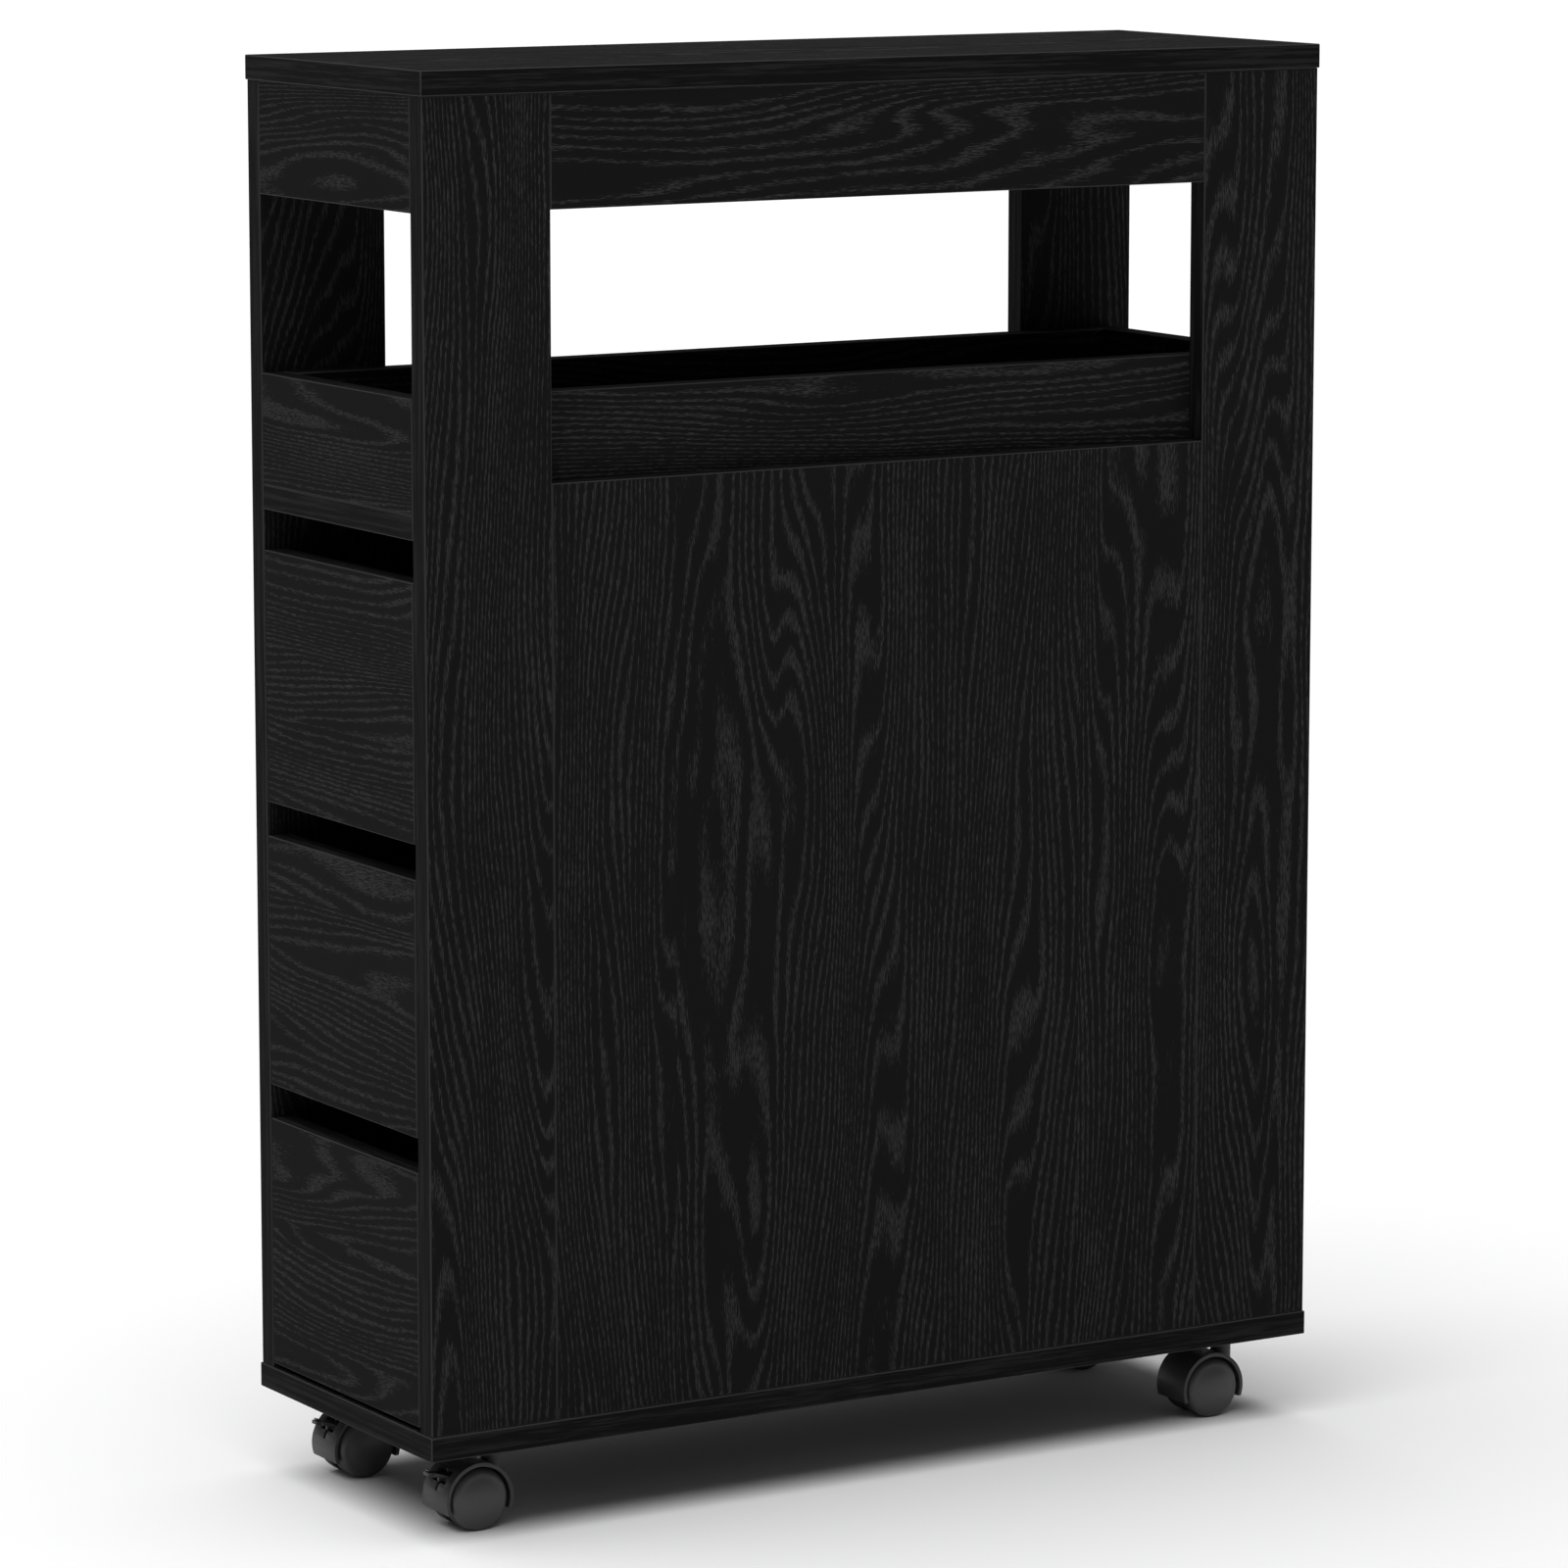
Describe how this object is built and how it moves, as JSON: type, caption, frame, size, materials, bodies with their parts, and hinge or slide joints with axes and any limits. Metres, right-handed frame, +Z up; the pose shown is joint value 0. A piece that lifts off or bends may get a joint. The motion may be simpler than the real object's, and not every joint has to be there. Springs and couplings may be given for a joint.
{
  "type": "kitchen island cart",
  "caption": "Narrow black oak kitchen island cart with an open tray bay under the worktop, end drawers and twin-wheel casters.",
  "frame": {"origin": "on the floor under the middle of the worktop", "axes": "+X along the cart away from the drawer fronts, +Y to the back long face, +Z up"},
  "size_m": [0.68, 0.24, 0.939],
  "materials": {
    "black_oak_board": "satin black oak laminate",
    "black_drawer_board": "satin black laminate",
    "hardboard": "smooth dark sheet",
    "batten_wood": "sanded",
    "beech_dowel": "fluted",
    "hood_nylon": "fine matte",
    "wheel_nylon": "matte",
    "zinc_steel": "zinc plated"
  },
  "bodies": {
    "cart": {"top_board": "black_oak_board", "base_board": "black_oak_board", "stile_front_left": "black_oak_board", "stile_front_right": "black_oak_board", "stile_back_left": "black_oak_board", "stile_back_right": "black_oak_board", "panel_front": "black_oak_board", "panel_back": "black_oak_board", "rail_front": "black_oak_board", "rail_back": "black_oak_board", "apron_left": "black_oak_board", "apron_right": "black_oak_board", "tray_floor": "black_oak_board", "tray_wall_front": "black_oak_board", "tray_wall_back": "black_oak_board", "tray_wall_left": "black_oak_board", "tray_wall_right": "black_oak_board", "end_panel": "black_oak_board", "dowels": "beech_dowel", "runners_1": "batten_wood", "runners_2": "batten_wood", "runners_3": "batten_wood", "caster_screws": "zinc_steel", "caster_plate_fl": "zinc_steel", "caster_plate_bl": "zinc_steel", "caster_plate_fr": "zinc_steel", "caster_plate_br": "zinc_steel"},
    "drawer_1": {"drawer_front_1": "black_oak_board", "drawer_side_front_1": "black_drawer_board", "drawer_side_back_1": "black_drawer_board", "drawer_back_1": "black_drawer_board", "drawer_bottom_1": "hardboard"},
    "drawer_2": {"drawer_front_2": "black_oak_board", "drawer_side_front_2": "black_drawer_board", "drawer_side_back_2": "black_drawer_board", "drawer_back_2": "black_drawer_board", "drawer_bottom_2": "hardboard"},
    "drawer_3": {"drawer_front_3": "black_oak_board", "drawer_side_front_3": "black_drawer_board", "drawer_side_back_3": "black_drawer_board", "drawer_back_3": "black_drawer_board", "drawer_bottom_3": "hardboard"},
    "caster_fl": {"caster_hood_fl": "hood_nylon", "caster_axle_fl": "zinc_steel"},
    "wheel_a_fl": {"wheel_a_fl": "wheel_nylon"},
    "wheel_b_fl": {"wheel_b_fl": "wheel_nylon"},
    "brake_fl": {"brake_lever_fl": "hood_nylon"},
    "caster_bl": {"caster_hood_bl": "hood_nylon", "caster_axle_bl": "zinc_steel"},
    "wheel_a_bl": {"wheel_a_bl": "wheel_nylon"},
    "wheel_b_bl": {"wheel_b_bl": "wheel_nylon"},
    "brake_bl": {"brake_lever_bl": "hood_nylon"},
    "caster_fr": {"caster_hood_fr": "hood_nylon", "caster_axle_fr": "zinc_steel"},
    "wheel_a_fr": {"wheel_a_fr": "wheel_nylon"},
    "wheel_b_fr": {"wheel_b_fr": "wheel_nylon"},
    "caster_br": {"caster_hood_br": "hood_nylon", "caster_axle_br": "zinc_steel"},
    "wheel_a_br": {"wheel_a_br": "wheel_nylon"},
    "wheel_b_br": {"wheel_b_br": "wheel_nylon"}
  },
  "joints": [
    {"name": "drawer_slide_1", "type": "slide", "parent": "cart", "child": "drawer_1", "axis": [-1, 0, 0], "range_m": [0, 0.4]},
    {"name": "drawer_slide_2", "type": "slide", "parent": "cart", "child": "drawer_2", "axis": [-1, 0, 0], "range_m": [0, 0.4]},
    {"name": "drawer_slide_3", "type": "slide", "parent": "cart", "child": "drawer_3", "axis": [-1, 0, 0], "range_m": [0, 0.4]},
    {"name": "swivel_fl", "type": "hinge", "parent": "cart", "child": "caster_fl", "pos_m": [-0.274, -0.078, 0.045], "axis": [0, 0, 1], "continuous": true},
    {"name": "wheel_a_fl_spin", "type": "hinge", "parent": "caster_fl", "child": "wheel_a_fl", "pos_m": [-0.291, -0.078, 0.0205], "axis": [0, 1, 0], "continuous": true},
    {"name": "wheel_b_fl_spin", "type": "hinge", "parent": "caster_fl", "child": "wheel_b_fl", "pos_m": [-0.291, -0.078, 0.0205], "axis": [0, 1, 0], "continuous": true},
    {"name": "brake_press_fl", "type": "hinge", "parent": "caster_fl", "child": "brake_fl", "pos_m": [-0.303, -0.078, 0.03342], "axis": [0, -1, 0], "range_deg": [0, 18]},
    {"name": "swivel_bl", "type": "hinge", "parent": "cart", "child": "caster_bl", "pos_m": [-0.274, 0.078, 0.045], "axis": [0, 0, 1], "continuous": true},
    {"name": "wheel_a_bl_spin", "type": "hinge", "parent": "caster_bl", "child": "wheel_a_bl", "pos_m": [-0.291, 0.078, 0.0205], "axis": [0, 1, 0], "continuous": true},
    {"name": "wheel_b_bl_spin", "type": "hinge", "parent": "caster_bl", "child": "wheel_b_bl", "pos_m": [-0.291, 0.078, 0.0205], "axis": [0, 1, 0], "continuous": true},
    {"name": "brake_press_bl", "type": "hinge", "parent": "caster_bl", "child": "brake_bl", "pos_m": [-0.303, 0.078, 0.03342], "axis": [0, -1, 0], "range_deg": [0, 18]},
    {"name": "swivel_fr", "type": "hinge", "parent": "cart", "child": "caster_fr", "pos_m": [0.299, -0.078, 0.045], "axis": [0, 0, 1], "continuous": true},
    {"name": "wheel_a_fr_spin", "type": "hinge", "parent": "caster_fr", "child": "wheel_a_fr", "pos_m": [0.282, -0.078, 0.0205], "axis": [0, 1, 0], "continuous": true},
    {"name": "wheel_b_fr_spin", "type": "hinge", "parent": "caster_fr", "child": "wheel_b_fr", "pos_m": [0.282, -0.078, 0.0205], "axis": [0, 1, 0], "continuous": true},
    {"name": "swivel_br", "type": "hinge", "parent": "cart", "child": "caster_br", "pos_m": [0.299, 0.078, 0.045], "axis": [0, 0, 1], "continuous": true},
    {"name": "wheel_a_br_spin", "type": "hinge", "parent": "caster_br", "child": "wheel_a_br", "pos_m": [0.282, 0.078, 0.0205], "axis": [0, 1, 0], "continuous": true},
    {"name": "wheel_b_br_spin", "type": "hinge", "parent": "caster_br", "child": "wheel_b_br", "pos_m": [0.282, 0.078, 0.0205], "axis": [0, 1, 0], "continuous": true}
  ]
}
